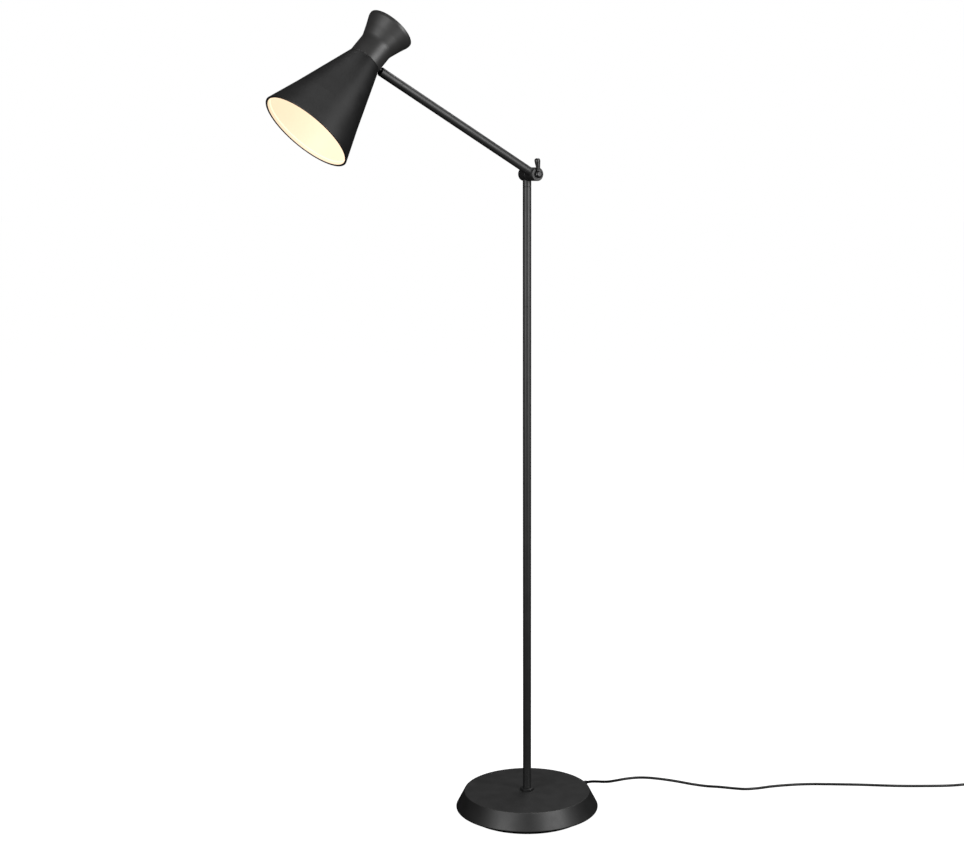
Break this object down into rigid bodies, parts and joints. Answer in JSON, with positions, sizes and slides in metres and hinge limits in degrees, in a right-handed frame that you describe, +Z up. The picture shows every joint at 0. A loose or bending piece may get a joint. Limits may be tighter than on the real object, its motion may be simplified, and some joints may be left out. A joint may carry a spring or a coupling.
{
  "type": "adjustable arm floor lamp",
  "caption": "Floor lamp with a weighted round base, a slim pole, a clamped tilting arm and a ball-jointed double-cone shade.",
  "frame": {"origin": "centre of the round base on the floor", "axes": "+Z up the pole, -X in the direction of the arm, Y along the arm pivot's axis with the clamp lever at the -Y side"},
  "size_m": [1.4556, 0.6655, 1.5174],
  "materials": {
    "black_paint": "matte black powder coat",
    "neck_paint": "satin black paint",
    "shade_lining": "matte white enamel on the inside of the shade",
    "base_iron": "rough casting",
    "zinc_steel": "zinc plated",
    "black_steel": "blackened steel",
    "pin_steel": "nickel plated",
    "brass": "turned brass",
    "nylon": "moulded nylon",
    "black_plastic": "fine moulded texture",
    "cord_rubber": "smooth flexible sheath",
    "foot_pad": "foam rubber sheet",
    "holder_ceramic": "glazed",
    "bulb_metal": "bare metal",
    "opal_glass": "opal, lit"
  },
  "bodies": {
    "stand": {"foot_pad": "foot_pad", "base_plate": "zinc_steel", "base_weight": "base_iron", "base_cover": "black_paint", "base_washer": "zinc_steel", "base_nut": "zinc_steel", "threaded_tube": "zinc_steel", "collar_nut": "black_paint", "cord_gland": "black_plastic", "gland_nut": "zinc_steel", "pole_lower": "black_paint", "pole_middle": "black_paint", "pole_upper": "black_paint", "pole_foot_bush": "zinc_steel", "pole_coupling_lower": "zinc_steel", "pole_coupling_upper": "zinc_steel", "pole_head": "black_paint", "base_lead": "black_plastic", "pole_lead": "black_plastic", "friction_washer": "nylon", "pivot_bolt": "zinc_steel", "cord_run": "cord_rubber", "cord_switch_to_coil": "cord_rubber", "cord_coil": "cord_rubber", "cord_tie": "cord_rubber", "cord_coil_to_plug": "cord_rubber", "switch_base": "black_plastic", "switch_cover": "black_plastic", "switch_screw_1": "zinc_steel", "switch_screw_2": "zinc_steel", "plug_body": "black_plastic", "plug_pin_1": "pin_steel", "plug_pin_2": "pin_steel"},
    "lever": {"clamp_lever": "black_paint"},
    "arm": {"arm_knuckle": "black_paint", "arm_tube": "black_paint", "arm_lead": "black_plastic", "arm_end_bush": "brass", "clamp_disc": "black_paint", "spring_washer": "zinc_steel"},
    "sleeve": {"head_sleeve": "black_paint", "ball_cup": "nylon", "ball_retainer": "zinc_steel"},
    "stud": {"ball_stud": "black_steel", "stud_washer": "cord_rubber"},
    "shade": {"shade_cone": "black_paint", "shade_neck": "neck_paint", "neck_cap": "neck_paint", "stud_inner_washer": "zinc_steel", "stud_nut": "zinc_steel", "lampholder_body": "holder_ceramic", "lampholder_contact": "brass", "lampholder_tube": "zinc_steel", "lampholder_nut": "zinc_steel", "bulb_cap": "bulb_metal", "bulb_glass": "opal_glass"},
    "rocker": {"switch_rocker": "black_plastic"}
  },
  "joints": [
    {"name": "arm_pivot", "type": "hinge", "parent": "stand", "child": "arm", "pos_m": [0, -0.02205, 1.2384], "axis": [0, 1, 0], "range_deg": [-75, 60]},
    {"name": "clamp_lever_turn", "type": "hinge", "parent": "stand", "child": "lever", "pos_m": [0, -0.0386, 1.2384], "axis": [0, 1, 0], "range_deg": [-90, 90]},
    {"name": "sleeve_swivel", "type": "hinge", "parent": "arm", "child": "sleeve", "pos_m": [-0.31459, -0.02205, 1.41135], "axis": [-0.8763, 0, 0.4818], "range_deg": [-165, 165]},
    {"name": "shade_tilt", "type": "hinge", "parent": "sleeve", "child": "stud", "pos_m": [-0.31459, -0.02205, 1.41135], "axis": [0, 1, 0], "range_deg": [-34, 5.5]},
    {"name": "shade_turn", "type": "hinge", "parent": "stud", "child": "shade", "pos_m": [-0.31459, -0.02205, 1.41135], "axis": [0.729, 0, -0.6845], "range_deg": [-165, 165]},
    {"name": "switch_rocker_tip", "type": "hinge", "parent": "stand", "child": "rocker", "pos_m": [0.85307, -0.42009, 0.013], "axis": [0.5592, 0.829, 0], "range_deg": [0, 12]}
  ]
}
